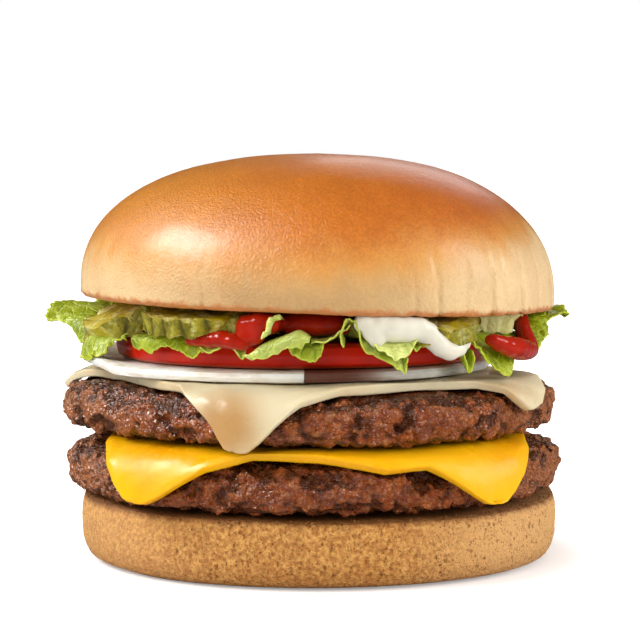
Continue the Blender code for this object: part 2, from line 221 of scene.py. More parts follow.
def warped(tree, place, scale, distance):
    # the place, shifted by a soft noise, so that patterns on it lose their regular look
    wander = put(tree, "ShaderNodeTexNoise", {"Vector": place, "Scale": scale, "Detail": 2.0}).outputs[1]
    centred = put(tree, "ShaderNodeVectorMath", {0: wander, 1: (0.5, 0.5, 0.5)}, operation="SUBTRACT").outputs[0]
    shift = put(tree, "ShaderNodeVectorMath", {0: centred, "Scale": distance}, operation="SCALE").outputs[0]
    return put(tree, "ShaderNodeVectorMath", {0: place, 1: shift}, operation="ADD").outputs[0]


def seen(red, green, blue):
    # a colour as seen on a screen, 0 to 255, in the linear values that nodes take
    return tuple(((c / 255 + 0.055) / 1.055) ** 2.4 if c > 10 else c / 3295 for c in (red, green, blue)) + (1.0,)


def reliefGroup(name):
    # an empty geometry node group that moves each point along its normal; returns what a relief is built from
    tree = bpy.data.node_groups.new(name, "GeometryNodeTree")
    tree.interface.new_socket("Geometry", in_out="INPUT", socket_type="NodeSocketGeometry")
    tree.interface.new_socket("Geometry", in_out="OUTPUT", socket_type="NodeSocketGeometry")
    source = tree.nodes.new("NodeGroupInput").outputs[0]
    place = put(tree, "GeometryNodeInputPosition").outputs[0]
    normal = put(tree, "GeometryNodeInputNormal").outputs[0]
    return tree, source, place, normal


def finishRelief(tree, source, normal, height, attribute=None):
    # height is in metres; attribute keeps the height in millimetres for the material
    offset = put(tree, "ShaderNodeVectorMath", {0: normal, "Scale": height}, operation="SCALE").outputs[0]
    moved = put(tree, "GeometryNodeSetPosition", {"Geometry": source, "Offset": offset}).outputs[0]
    if attribute:
        inputs = {"Geometry": moved, "Name": attribute, "Value": calc(tree, "MULTIPLY", height, 1000.0)}
        moved = put(tree, "GeometryNodeStoreNamedAttribute", inputs, data_type="FLOAT", domain="POINT").outputs[0]
    tree.links.new(moved, tree.nodes.new("NodeGroupOutput").inputs[0])
    return tree


def parts(tree, vector):
    return put(tree, "ShaderNodeSeparateXYZ", {0: vector}).outputs


def total(tree, *values):
    result = values[0]
    for value in values[1:]:
        result = calc(tree, "ADD", result, value)
    return result


def outward(tree, place):
    # distance from the burger's own upright axis
    x, y, _ = parts(tree, place)
    return calc(tree, "SQRT", calc(tree, "ADD", calc(tree, "MULTIPLY", x, x), calc(tree, "MULTIPLY", y, y)))


def wavy(tree, value, amount):
    # a noise value moved to run from -amount / 2 to amount / 2
    return calc(tree, "MULTIPLY", calc(tree, "SUBTRACT", value, 0.5), amount)


def newMaterial(name, **values):
    # a Principled material with its constant values set; returns it with its tree, shader and Object coordinates
    material = bpy.data.materials.new(name)
    material.use_nodes = True
    tree = material.node_tree
    shader = tree.nodes["Principled BSDF"]
    for key, value in values.items():
        shader.inputs[key.replace("_", " ")].default_value = value
    place = tree.nodes.new("ShaderNodeTexCoord").outputs["Object"]
    return material, tree, shader, place


def attributeOf(tree, name):
    return put(tree, "ShaderNodeAttribute", attribute_name=name).outputs["Fac"]


def setBump(tree, shader, height, distance, strength=1.0):
    inputs = {"Height": height, "Distance": distance, "Strength": strength}
    tree.links.new(put(tree, "ShaderNodeBump", inputs).outputs[0], shader.inputs["Normal"])


def newGroup(name, inputs, outputs):
    # an empty shader node group with named sockets; returns it with its source and drain
    tree = bpy.data.node_groups.new(name, "ShaderNodeTree")
    for socket, kind in inputs:
        tree.interface.new_socket(socket, in_out="INPUT", socket_type="NodeSocket" + kind)
    for socket, kind in outputs:
        tree.interface.new_socket(socket, in_out="OUTPUT", socket_type="NodeSocket" + kind)
    return tree, tree.nodes.new("NodeGroupInput").outputs, tree.nodes.new("NodeGroupOutput").inputs


def mottleGroup():
    # two colours that run into each other in soft blotches
    tree, source, drain = newGroup(
        "mottle",
        (("Vector", "Vector"), ("First", "Color"), ("Second", "Color"), ("Scale", "Float"), ("Low", "Float"),
         ("High", "Float")),
        (("Color", "Color"), ("Mask", "Float")))
    value = grain(tree, source["Vector"], source["Scale"], 3.0, 0.6)
    mask = spread(tree, value, source["Low"], source["High"])
    tree.links.new(blend(tree, mask, source["First"], source["Second"]), drain["Color"])
    tree.links.new(mask, drain["Mask"])
    return tree


def poreGroup():
    # small pits of mixed size and outline: a height for bump and a mask for colour
    tree, source, drain = newGroup(
        "pores", (("Vector", "Vector"), ("Scale", "Float"), ("Size", "Float")),
        (("Height", "Float"), ("Mask", "Float")))
    bent = warped(tree, source["Vector"], 1500.0, 0.0006)
    near = cells(tree, bent, source["Scale"])
    chance = grain(tree, source["Vector"], calc(tree, "MULTIPLY", source["Scale"], 0.35), 2.0)
    reach = calc(tree, "MULTIPLY", source["Size"], spread(tree, chance, 0.35, 0.65, 0.3, 1.3))
    pit = spread(tree, calc(tree, "DIVIDE", near, reach), 0.3, 1.0, 1.0, 0.0)
    tree.links.new(calc(tree, "SUBTRACT", 1.0, pit), drain["Height"])
    tree.links.new(pit, drain["Mask"])
    return tree


mottle = mottleGroup()
pores = poreGroup()


def mottled(tree, place, first, second, scale, low=0.4, high=0.6):
    inputs = {"Vector": place, "First": first, "Second": second, "Scale": scale, "Low": low, "High": high}
    made = put(tree, "ShaderNodeGroup", inputs=None, node_tree=mottle)
    for key, value in inputs.items():
        if isinstance(value, bpy.types.NodeSocket):
            tree.links.new(value, made.inputs[key])
        else:
            made.inputs[key].default_value = value
    return made.outputs["Color"]


def pitted(tree, place, scale, size):
    made = put(tree, "ShaderNodeGroup", node_tree=pores)
    tree.links.new(place, made.inputs["Vector"])
    made.inputs["Scale"].default_value = scale
    made.inputs["Size"].default_value = size
    return made.outputs["Height"], made.outputs["Mask"]


bun = {
    "top": seen(190, 106, 20), "deep": seen(172, 80, 28), "side": seen(208, 146, 68), "pale": seen(213, 180, 130),
    # of the next line's colours, the second is a painted shade and the third a pale blush that is partly a painted
    # sheen
    "gold": seen(212, 138, 28), "lowMiddleShade": seen(182, 142, 88), "blush": seen(220, 188, 142),
    "edge": seen(190, 114, 52), "baked": 64.5 * mm, "fade": 9.0 * mm,  # height of the brown's lower limit, and how soft it is
    "creases": ((22, 0.35), (29, 0.6), (36, 0.25), (45, 0.7), (50, 0.5), (57, 0.7), (66, 0.35), (80, 0.5), (96, 0.5), (118, 0.4),
                (131, 0.4), (158, 0.3), (176, 0.4), (201, 0.3), (229, 0.4), (250, 0.3), (288, 0.2), (333, 0.2)),
    # the last colour here paints light onto the sides, and the dark crumb colour also paints shade into the pores
    "crumb": seen(184, 118, 54), "crumbDarkAndPoreShade": seen(150, 84, 36), "crumbLight": seen(236, 178, 98), "crumbLitPale": seen(236, 182, 118),
    # the rim colour is the patty's juices together with a painted shadow under the patty
    "heelRimJuiceAndShadow": seen(126, 70, 34), "pore": 0.35 * mm,
}


def bakedHeight(tree, place):
    # how far a point lies above the line where the brown starts, which climbs at the sides, in fades
    x, y, z = parts(tree, place)
    aside = calc(tree, "MULTIPLY", calc(tree, "MULTIPLY", x, x), 1.7)
    line = total(tree, aside, calc(tree, "MULTIPLY", x, 0.035), wavy(tree, grain(tree, place, 38.0, 3.0), 9 * mm))
    above = calc(tree, "SUBTRACT", calc(tree, "SUBTRACT", z, bun["baked"]), line)
    return calc(tree, "DIVIDE", above, bun["fade"])


def crownMaterial():
    low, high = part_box("bun_crown")
    material, tree, shader, place = newMaterial(
        "glazedBun", Roughness=0.36, Specular_IOR_Level=0.5, Coat_Weight=0.4, Coat_Roughness=0.24, Subsurface_Weight=0.1,
        Subsurface_Radius=(2.0, 1.0, 0.5), Subsurface_Scale=0.001)
    x, y, z = parts(tree, place)
    streaks = grain(tree, put(tree, "ShaderNodeVectorMath", {0: place, 1: (1, 1, 0.22)}, operation="MULTIPLY").outputs[0], 150.0, 3.0)
    level = calc(tree, "ADD", bakedHeight(tree, place), wavy(tree, streaks, 0.9))
    colour = blend(tree, spread(tree, level, -0.75, 0.35), bun["pale"], bun["side"])
    colour = blend(tree, spread(tree, level, 0.0, 1.25), colour, bun["top"])
    gold = calc(tree, "MULTIPLY", spread(tree, x, -44 * mm, 4 * mm, 0.75, 0.0), spread(tree, level, 0.2, 1.2))
    colour = blend(tree, gold, colour, bun["gold"])
    # painted shade: the lower middle of the crown is blended to a darker tan
    middle = spread(tree, calc(tree, "ABSOLUTE", calc(tree, "ADD", x, 5 * mm)), 8 * mm, 34 * mm, 0.85, 0.0)
    colour = blend(tree, calc(tree, "MULTIPLY", middle, spread(tree, level, -0.6, 0.5, 1.0, 0.0)), colour, bun["lowMiddleShade"])
    # paler and pinker low on the right: partly the crust's own pale colour, partly a painted sheen of the right lights
    blush = calc(tree, "MULTIPLY", spread(tree, x, 18 * mm, 46 * mm, 0.0, 0.85), spread(tree, level, -0.2, 0.6, 1.0, 0.0))
    colour = blend(tree, blush, colour, bun["blush"])
    deep = calc(tree, "MULTIPLY", spread(tree, x, -5 * mm, 42 * mm), spread(tree, level, 0.5, 1.8))
    colour = blend(tree, calc(tree, "MULTIPLY", deep, 0.75), colour, bun["deep"])
    spots = mottled(tree, place, (0.8, 0.74, 0.66, 1), (1.16, 1.16, 1.12, 1), 1500.0, 0.34, 0.66)
    colour = blend(tree, spread(tree, level, 0.0, 1.0, 0.2, 0.6), colour, spots, "MULTIPLY")
    blotches = mottled(tree, place, (0.86, 0.8, 0.74, 1), (1.06, 1.06, 1.04, 1), 110.0, 0.3, 0.7)
    colour = blend(tree, 0.5, colour, blotches, "MULTIPLY")
    cut = calc(tree, "ADD", z, calc(tree, "MULTIPLY", x, math.tan(math.radians(1.95))))  # level along the slanted cut
    ragged = calc(tree, "ADD", cut, wavy(tree, grain(tree, place, 330.0, 3.0, 0.65), -3.2 * mm))
    rim = spread(tree, ragged, 56.9 * mm, 58.1 * mm, 1.0, 0.0)
    colour = blend(tree, calc(tree, "MULTIPLY", rim, 0.95), colour, bun["edge"])
    tree.links.new(colour, shader.inputs["Base Color"])
    dull = spread(tree, level, -0.9, 0.6, 0.62, 0.34)
    tree.links.new(calc(tree, "ADD", dull, wavy(tree, grain(tree, place, 1400.0, 2.0), 0.16)), shader.inputs["Roughness"])
    fine = grain(tree, place, 1700.0, 3.0, 0.62)
    broad = grain(tree, place, 420.0, 2.0)
    setBump(tree, shader, total(tree, fine, calc(tree, "MULTIPLY", broad, 0.7)), 0.0003)
    return material


def crownRelief():
    low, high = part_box("bun_crown")
    tree, source, place, normal = reliefGroup("bunSwell")
    x, y, z = parts(tree, place)
    swell = wavy(tree, grain(tree, place, 42.0, 1.0), 0.7 * mm)
    dimples = wavy(tree, grain(tree, place, 480.0, 2.0), 0.09 * mm)
    bend = wavy(tree, grain(tree, place, 110.0, 2.0), 5.0 * mm)
    top = spread(tree, calc(tree, "ADD", z, wavy(tree, grain(tree, place, 90.0, 1.0), 8 * mm)), 60 * mm, 71 * mm, 1.0, 0.0)
    folds = 0.0
    for azimuth, depth in bun["creases"]:
        ahead, aside = turned((azimuth, 1, 0)), turned((azimuth + 90, 1, 0))
        across = total(tree, calc(tree, "MULTIPLY", x, aside.x), calc(tree, "MULTIPLY", y, aside.y), bend)
        front = spread(tree, calc(tree, "ADD", calc(tree, "MULTIPLY", x, ahead.x), calc(tree, "MULTIPLY", y, ahead.y)),
                       30 * mm, 40 * mm)
        narrow = spread(tree, calc(tree, "ABSOLUTE", across), 0.1 * mm, 1.1 * mm, depth * mm, 0.0)
        folds = calc(tree, "ADD", calc(tree, "MULTIPLY", narrow, front), folds)
    creases = calc(tree, "MULTIPLY", calc(tree, "MULTIPLY", folds, top), -1.0)
    ragged = calc(tree, "MULTIPLY", wavy(tree, grain(tree, place, 520.0, 3.0, 0.7), 0.7 * mm),
                  spread(tree, calc(tree, "ADD", z, calc(tree, "MULTIPLY", x, 0.034)), 56.4 * mm, 58.2 * mm, 1.0, 0.0))
    return finishRelief(tree, source, normal, total(tree, swell, dimples, creases, ragged))


def makeCrown():
    piece = subdivided(copyOf("bun_crown", "crown", 0.8), 2)
    softEdged(piece, 0.4 * mm)
    refine(piece, lambda face: face.calc_center_median().xy.length > 20 * mm and face.normal.z > -0.6, 1)
    refineRound(piece, 40 * mm, 1)
    shaped(piece, crownRelief())
    return serve(piece, crownMaterial(), "bun", "bun_crown")


def heelMaterial():
    low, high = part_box("bun_heel")
    material, tree, shader, place = newMaterial(
        "toastedCrumb", Roughness=0.72, Specular_IOR_Level=0.35, Subsurface_Weight=0.1,
        Subsurface_Radius=(2.0, 1.0, 0.5), Subsurface_Scale=0.001)
    x, y, z = parts(tree, place)
    base = mottled(tree, place, bun["crumb"], bun["crumbLight"], 1000.0, 0.28, 0.74)
    tone = mottled(tree, place, (0.8, 0.74, 0.66, 1), (1.08, 1.08, 1.06, 1), 120.0, 0.32, 0.62)
    base = blend(tree, 0.4, base, tone, "MULTIPLY")
    # painted light: paler towards the left, where the key light falls, and paler still towards the right as a painted
    # sheen
    aside = total(tree, spread(tree, x, -46 * mm, -14 * mm, 0.32, 0.0), spread(tree, x, 12 * mm, 42 * mm, 0.0, 0.85))
    base = blend(tree, aside, base, bun["crumbLitPale"])
    lowDown = spread(tree, z, low.z, low.z + 7 * mm, 1.0, 0.0)
    base = blend(tree, calc(tree, "MULTIPLY", lowDown, 0.3), base, bun["crumbDarkAndPoreShade"])
    # a darker rim at the top: the patty's juices, with a painted shadow of the patty above
    ragged = calc(tree, "ADD", z, wavy(tree, grain(tree, place, 360.0, 3.0, 0.6), 2.4 * mm))
    rim = spread(tree, ragged, high.z - 2.0 * mm, high.z - 0.4 * mm)
    base = blend(tree, calc(tree, "MULTIPLY", rim, 0.8), base, bun["heelRimJuiceAndShadow"])
    pore = crumbPores(tree, place, x)
    # painted shade: the pores are darkened in colour as well as pitted
    base = blend(tree, calc(tree, "MULTIPLY", pore, 0.62), base, bun["crumbDarkAndPoreShade"])
    tree.links.new(base, shader.inputs["Base Color"])
    rough = grain(tree, place, 1800.0, 3.0, 0.7)
    setBump(tree, shader, total(tree, calc(tree, "MULTIPLY", pore, -1.0), calc(tree, "MULTIPLY", rough, 2.6)), 0.0004)
    return material


def crumbPores(tree, place, x):
    # round pores of two sizes, in groups, and fewer of them towards the left
    bent = warped(tree, place, 700.0, 0.5 * mm)
    often = spread(tree, grain(tree, place, 230.0, 2.0), 0.4, 0.6)
    large = calc(tree, "MULTIPLY", spread(tree, cells(tree, bent, 620.0), 0.14, 0.3, 1.0, 0.0), often)
    small = spread(tree, cells(tree, bent, 1250.0), 0.15, 0.32, 0.75, 0.0)
    both = calc(tree, "MAXIMUM", large, small)
    return calc(tree, "MULTIPLY", both, spread(tree, x, -52 * mm, -18 * mm, 0.3, 1.0))


def heelRelief():
    # an open crumb: soft lumps, a fine grain and the pores
    tree, source, place, normal = reliefGroup("crumbPits")
    lump = wavy(tree, grain(tree, place, 380.0, 2.0), 0.35 * mm)
    fine = wavy(tree, grain(tree, place, 1000.0, 2.0, 0.6), 0.5 * mm)
    pore = crumbPores(tree, place, parts(tree, place)[0])
    side = spread(tree, calc(tree, "ABSOLUTE", parts(tree, normal)[2]), 0.6, 0.95, 1.0, 0.25)
    height = total(tree, lump, fine, calc(tree, "MULTIPLY", pore, -bun["pore"]), 0.35 * mm)
    return finishRelief(tree, source, normal, calc(tree, "MULTIPLY", height, side))


def makeHeel():
    piece = subdivided(copyOf("bun_heel", "heel", 0.8), 2)
    softEdged(piece, 0.3 * mm)
    refineRound(piece, 46 * mm, 3)
    refine(piece, lambda face: face.calc_center_median().xy.length > 49 * mm, 1)
    shaped(piece, heelRelief())
    return serve(piece, heelMaterial(), "bun", "bun_heel")


crumbs = {"count": 150, "least": 0.25, "most": 0.75, "seed": 11}


def makeCrumbs():
    # bits of toasted crumb round the heel's top edge
    low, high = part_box("bun_heel")
    draw = random.Random(crumbs["seed"])
    made = []
    for number in range(crumbs["count"]):
        deselectAll()
        size = draw.uniform(crumbs["least"], crumbs["most"]) * mm
        place = turned((draw.uniform(0, 360), draw.uniform(50.2, 52.2), (high.z / mm) - draw.uniform(0.2, 0.8))) * mm
        bpy.ops.mesh.primitive_ico_sphere_add(subdivisions=1, radius=size / 2, location=place, rotation=(
            draw.uniform(0, 3), draw.uniform(0, 3), draw.uniform(0, 3)), scale=(1, draw.uniform(0.6, 1), draw.uniform(0.5, 0.9)))
        made.append(bpy.context.object)
    piece = joined(made, "crumbs")
    return serve(piece, heelMaterial(), "bun")


def joined(made, name):
    deselectAll()
    for bit in made:
        bit.select_set(True)
    bpy.context.view_layer.objects.active = made[0]
    bpy.ops.object.join()
    piece = named(name)
    bpy.ops.object.transform_apply(location=True, rotation=True, scale=True)
    return piece


beef = {
    # the dark colour also paints shade into the crevices
    "meat": seen(138, 66, 28), "darkAndCreviceShade": seen(58, 25, 8), "light": seen(178, 112, 66), "warm": seen(164, 88, 34),
    "fill": 0.45 * mm,
    "lump": 1.7 * mm, "strand": 1.25 * mm, "grit": 0.6 * mm, "crack": 1.4 * mm, "hold": 0.8 * mm,
}


def beefRelief():
    # crumbled strands of mince: lumps, smaller grains between them, and cracks, mostly on the rim
    tree, source, place, normal = reliefGroup("groundBeef")
    bent = warped(tree, place, 300.0, 3.0 * mm)
    finer = warped(tree, place, 800.0, 1.4 * mm)
    lumps = calc(tree, "MULTIPLY", calc(tree, "SUBTRACT", 0.5, cells(tree, bent, 270.0, "SMOOTH_F1", 0.25)), beef["lump"])
    strands = calc(tree, "MULTIPLY", calc(tree, "SUBTRACT", 0.42, cells(tree, finer, 500.0, "SMOOTH_F1", 0.15)), beef["strand"])
    strands = calc(tree, "MULTIPLY", strands, spread(tree, grain(tree, place, 150.0, 2.0), 0.38, 0.6, 0.35, 1.15))
    grit = wavy(tree, grain(tree, place, 1500.0, 3.0, 0.65), beef["grit"])
    crack = spread(tree, grain(tree, bent, 140.0, 2.0), 0.56, 0.68, 0.0, -beef["crack"])
    height = total(tree, lumps, strands, grit, crack)
    level = spread(tree, calc(tree, "ABSOLUTE", parts(tree, normal)[2]), 0.4, 0.9)
    height = calc(tree, "SUBTRACT", height, calc(tree, "MULTIPLY", level, beef["hold"]))
    height = calc(tree, "ADD", height, beef["fill"])
    rim = spread(tree, outward(tree, place), 44 * mm, 49 * mm, 0.1, 1.0)
    return finishRelief(tree, source, normal, calc(tree, "MULTIPLY", height, rim), "relief")


def beefMaterial():
    material, tree, shader, place = newMaterial(
        "searedBeef", Roughness=0.5, Specular_IOR_Level=0.8, Coat_Weight=0.3, Coat_Roughness=0.1,
        Subsurface_Weight=0.05, Subsurface_Radius=(1.5, 0.5, 0.3), Subsurface_Scale=0.001)
    relief = attributeOf(tree, "relief")
    bent = warped(tree, place, 700.0, 1.2 * mm)
    colour = mottled(tree, bent, beef["meat"], beef["light"], 620.0, 0.48, 0.72)
    warmth = spread(tree, grain(tree, place, 210.0, 2.0), 0.5, 0.66, 0.0, 0.6)
    colour = blend(tree, warmth, colour, beef["warm"])
    shade = mottled(tree, place, (0.7, 0.6, 0.55, 1), (1.15, 1.1, 1.05, 1), 130.0, 0.34, 0.62)
    colour = blend(tree, 0.6, colour, shade, "MULTIPLY")
    # painted light: the left and right ends are lightened, as where the side lights fall on them
    ends = spread(tree, calc(tree, "ABSOLUTE", parts(tree, place)[0]), 30 * mm, 52 * mm, 0.0, 0.6)
    colour = blend(tree, ends, colour, beef["light"])
    # painted shade: the low places of the relief, its crevices, are darkened
    colour = blend(tree, spread(tree, relief, -0.45, 0.35, 0.8, 0.0), colour, beef["darkAndCreviceShade"])
    grains = spread(tree, cells(tree, bent, 1300.0), 0.3, 0.65, 0.0, 0.3)
    colour = blend(tree, grains, colour, beef["darkAndCreviceShade"])
    tree.links.new(colour, shader.inputs["Base Color"])
    wet = spread(tree, grain(tree, place, 480.0, 2.0), 0.38, 0.52)
    tree.links.new(calc(tree, "MULTIPLY", wet, 0.12), shader.inputs["Coat Weight"])
    tree.links.new(spread(tree, wet, 0.0, 1.0, 0.5, 0.13), shader.inputs["Roughness"])
    fine = total(tree, grain(tree, place, 1600.0, 1.0, 0.5), calc(tree, "MULTIPLY", cells(tree, bent, 1000.0), -1.2))
    setBump(tree, shader, fine, 0.0007)
    return material


def makePatties():
    relief = beefRelief()
    material = beefMaterial()
    for node, name in (("patty_lower", "pattyLower"), ("patty_upper", "pattyUpper")):
        piece = subdivided(copyOf(node, name), 2)
        refineRound(piece, 40 * mm, 2)
        refine(piece, lambda face: face.calc_center_median().xy.length > 47 * mm, 1)
        shaped(piece, relief)
        serve(piece, material, "beef", node)


cheese = {
    "yellow": seen(236, 172, 8), "yellowDeep": seen(230, 142, 4), "white": seen(207, 193, 159),
    # the deep white colour also paints shade onto the drip
    "whiteDeepAndShade": seen(168, 118, 50),
}


def cheeseMaterial(name, light, deep, stains):
    # the stains are tan patches where the slice has browned and the meat shows through, and partly a painted shade on
    # the drip's lower body under its bulge: azimuth, radius, height and width, in mm
    material, tree, shader, place = newMaterial(
        name, Roughness=0.36, Specular_IOR_Level=0.27, Coat_Weight=0.05, Coat_Roughness=0.1, Subsurface_Weight=0.25,
        Subsurface_Radius=(3.0, 1.8, 0.7), Subsurface_Scale=0.001)
    colour = mottled(tree, place, light, deep, 45.0, 0.45, 0.9)
    for *spot, width in stains:
        away = put(tree, "ShaderNodeVectorMath", {0: place, 1: turned(spot) * mm}, operation="DISTANCE").outputs["Value"]
        near = spread(tree, away, width * 0.25 * mm, width * mm, 0.8, 0.0)
        colour = blend(tree, near, colour, deep)
    tree.links.new(colour, shader.inputs["Base Color"])
    tree.links.new(spread(tree, grain(tree, place, 130.0, 3.0), 0.35, 0.65, 0.26, 0.48), shader.inputs["Roughness"])
    setBump(tree, shader, grain(tree, place, 190.0, 3.0), 0.0006, 0.5)
    return material


def meltRelief():
    tree, source, place, normal = reliefGroup("melt")
    return finishRelief(tree, source, normal, wavy(tree, grain(tree, place, 75.0, 2.0), 1.3 * mm))


def makeCheese():
    melt = meltRelief()
    yellow = subdivided(copyOf("cheese_yellow", "yellowSlice", 0.75), 2)
    shaped(yellow, melt)
    serve(yellow, cheeseMaterial("meltedYellowCheese", cheese["yellow"], cheese["yellowDeep"], ()), "yellow_cheese",
          "cheese_yellow")
    white = subdivided(copyOf("cheese_white", "whiteSlice", 0.75), 2)
    for vert in white.data.vertices:
        past = max(0.0, -46 * mm - vert.co.x) / (14 * mm)
        vert.co.z -= 3.4 * mm * past * past
        down = min(1.0, max(0.0, 40.0 * mm - vert.co.z) / (13.4 * mm))
        if vert.co.y < -35 * mm and -45 * mm < vert.co.x < -16.8 * mm:
            vert.co.x += (-16.8 * mm - vert.co.x) * 0.32 * math.sin(math.pi * down ** 1.15)
    shaped(white, melt)
    # the tan patch low on the drip is partly painted shade
    serve(white, cheeseMaterial("meltedWhiteCheese", cheese["white"], cheese["whiteDeepAndShade"], ((-19.5, 55.5, 34.0, 11.0),)),
          "white_cheese", "cheese_white")


salad = {
    "onion": seen(244, 243, 234), "onionWarm": seen(222, 210, 194), "onionBrown": seen(92, 42, 24),
    "tomato": seen(208, 32, 8), "tomatoDeep": seen(184, 20, 4), "tomatoEdge": seen(206, 84, 34), "flesh": seen(196, 72, 48),
}


def onionMaterial(name, brown):
    # brown is how much the fried meat's colour comes through the middle of the half
    material, tree, shader, place = newMaterial(
        name, Roughness=0.42, Specular_IOR_Level=0.25, Coat_Weight=0.1, Coat_Roughness=0.12, Subsurface_Weight=0.5,
        Subsurface_Radius=(3.0, 2.4, 1.8), Subsurface_Scale=0.001)
    x, y, z = parts(tree, place)
    streaky = put(tree, "ShaderNodeCombineXYZ", {0: x, 1: y, 2: calc(tree, "MULTIPLY", z, 3.0)}).outputs[0]
    colour = mottled(tree, streaky, salad["onion"], salad["onionWarm"], 150.0, 0.42, 0.72)
    middle = spread(tree, calc(tree, "ADD", x, wavy(tree, grain(tree, place, 120.0, 2.0), 9 * mm)), 7 * mm, 27 * mm, brown, 0.0)
    colour = blend(tree, middle, colour, salad["onionBrown"])
    tree.links.new(colour, shader.inputs["Base Color"])
    setBump(tree, shader, grain(tree, streaky, 420.0, 3.0), 0.0003)
    return material


def tomatoMaterial():
    low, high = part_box("tomato_slice")
    material, tree, shader, place = newMaterial(
        "ripeTomato", Roughness=0.3, Specular_IOR_Level=0.3, Coat_Weight=0.08, Coat_Roughness=0.06,
        Subsurface_Weight=0.12, Subsurface_Radius=(2.5, 0.5, 0.3), Subsurface_Scale=0.001)
    x, y, z = parts(tree, place)
    colour = mottled(tree, place, salad["tomato"], salad["tomatoDeep"], 80.0, 0.4, 0.7)
    skin = spread(tree, outward(tree, place), 36 * mm, 38 * mm)
    colour = blend(tree, skin, salad["flesh"], colour)
    ragged = calc(tree, "ADD", z, wavy(tree, grain(tree, place, 260.0, 2.0), 0.5 * mm))
    cut = spread(tree, ragged, low.z + 0.25 * mm, low.z + 0.6 * mm, 0.8, 0.0)
    colour = blend(tree, cut, colour, salad["tomatoEdge"])
    tree.links.new(colour, shader.inputs["Base Color"])
    setBump(tree, shader, grain(tree, place, 300.0, 3.0), 0.0003, 0.6)
    return material


def ringRelief(node):
    # the rings of an onion part a little, and its rim is never quite round
    tree, source, place, normal = reliefGroup(node + "Rings")
    low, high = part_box("onion_left")
    x, y, z = parts(tree, place)
    fromHeart = put(tree, "ShaderNodeCombineXYZ", {0: calc(tree, "ADD", x, 7.5 * mm), 1: calc(tree, "ADD", y, 1 * mm), 2: 0.0})
    away = calc(tree, "ADD", outward(tree, fromHeart.outputs[0]), wavy(tree, grain(tree, place, 60.0, 1.0), 2.5 * mm))
    gap = calc(tree, "ABSOLUTE", calc(tree, "SINE", calc(tree, "MULTIPLY", away, math.pi / (4.6 * mm))))
    flat = spread(tree, calc(tree, "ABSOLUTE", parts(tree, normal)[2]), 0.6, 0.9)
    groove = calc(tree, "MULTIPLY", spread(tree, gap, 0.0, 0.25, -0.45 * mm, 0.0), flat)
    side = calc(tree, "MULTIPLY", wavy(tree, grain(tree, place, 130.0, 2.0), 0.9 * mm), calc(tree, "SUBTRACT", 1.0, flat))
    return finishRelief(tree, source, normal, calc(tree, "ADD", groove, side))


def makeSalad():
    for node, name, brown in (("onion_left", "onionLeft", 0.12), ("onion_right", "onionRight", 0.96)):
        piece = softEdged(subdivided(copyOf(node, name, 1.0), 2), 0.25 * mm)
        for vert in piece.data.vertices:
            vert.co.x += 0.14 * mm if name == "onionLeft" else -0.14 * mm
        refine(piece, lambda face: face.calc_center_median().xy.length > 25 * mm, 2)
        shaped(piece, ringRelief(node))
        serve(piece, onionMaterial("raw" + name[0].upper() + name[1:], brown), "onion", node)
    tomato = softEdged(subdivided(copyOf("tomato_slice", "tomato", 1.0), 2), 0.2 * mm)
    serve(tomato, tomatoMaterial(), "tomato", "tomato_slice")


pickle = {
    "flesh": seen(176, 158, 22), "fleshPale": seen(214, 208, 140), "skin": seen(108, 100, 14), "skinLight": seen(146, 134, 26),
    # the groove colour paints shade into the valleys, and the whitish crest colour is partly a painted highlight
    "bloom": seen(184, 182, 104), "groove": seen(62, 58, 8), "wave": 4.3 * mm, "swing": 0.55 * mm, "lobe": 0.55 * mm, "wart": 0.3 * mm,
    # node: thickness, turn of the cut waves in degrees, height over the lettuce, droop past the tomato, how pale,
    # how much higher its inner end lies, and how far it has slid, to the right and back
    "chips": {
        "pickle_1": (4.3, 34, -0.2, 3.2, 0.0, 3.4), "pickle_2": (3.2, -52, 0.6, 0.5, 0.0, 2.6), "pickle_3": (3.0, -30, 0.25, 1.8, 0.0, 1.8, 3.4, 1.0),
        "pickle_4": (4.2, 20, 0.1, 2.6, 1.0, 1.2, -3.4, -0.6), "pickle_5": (2.8, 40, 0.0, 0.0, 0.3, 1.6), "pickle_6": (3.4, -35, 0.0, 0.0, 0.0, 2.0)},
}


def pickleMaterial(name, pale):
    material, tree, shader, place = newMaterial(
        name, Roughness=0.34, Specular_IOR_Level=0.3, Coat_Weight=0.2, Coat_Roughness=0.1, Subsurface_Weight=0.2,
        Subsurface_Radius=(1.6, 1.6, 0.6), Subsurface_Scale=0.001)
    skin = mottled(tree, place, pickle["skin"], pickle["skinLight"], 420.0, 0.36, 0.66)
    specks = spread(tree, cells(tree, warped(tree, place, 900.0, 1.0 * mm), 900.0), 0.12, 0.22, 0.7, 0.0)
    skin = blend(tree, specks, skin, seen(60, 58, 20))
    crest = attributeOf(tree, "crest")
    # painted shade: the skin is darkened in the valleys between the scallops
    skin = blend(tree, spread(tree, crest, 0.0, 0.5, 0.8, 0.0), skin, pickle["groove"])
    # whitish crests: partly the skin's own bloom, partly a painted highlight on the scallop peaks
    bloom = calc(tree, "MULTIPLY", spread(tree, crest, 0.78, 1.0), spread(tree, grain(tree, place, 1100.0, 3.0), 0.42, 0.6))
    skin = blend(tree, calc(tree, "MULTIPLY", bloom, 0.45), skin, pickle["bloom"])
    side = attributeOf(tree, "side")
    flesh = mottled(tree, place, pickle["flesh"], pickle["fleshPale"], 260.0, 0.4 - 0.2 * pale, 0.75 - 0.2 * pale)
    rimmed = blend(tree, pale * 0.9, skin, pickle["fleshPale"])
    colour = blend(tree, spread(tree, side, 0.3, 0.7), flesh, rimmed)
    tree.links.new(colour, shader.inputs["Base Color"])
    warts = calc(tree, "ADD", grain(tree, place, 1200.0, 2.0), calc(tree, "MULTIPLY", cells(tree, place, 700.0), -0.6))
    setBump(tree, shader, warts, 0.0004)
    return material


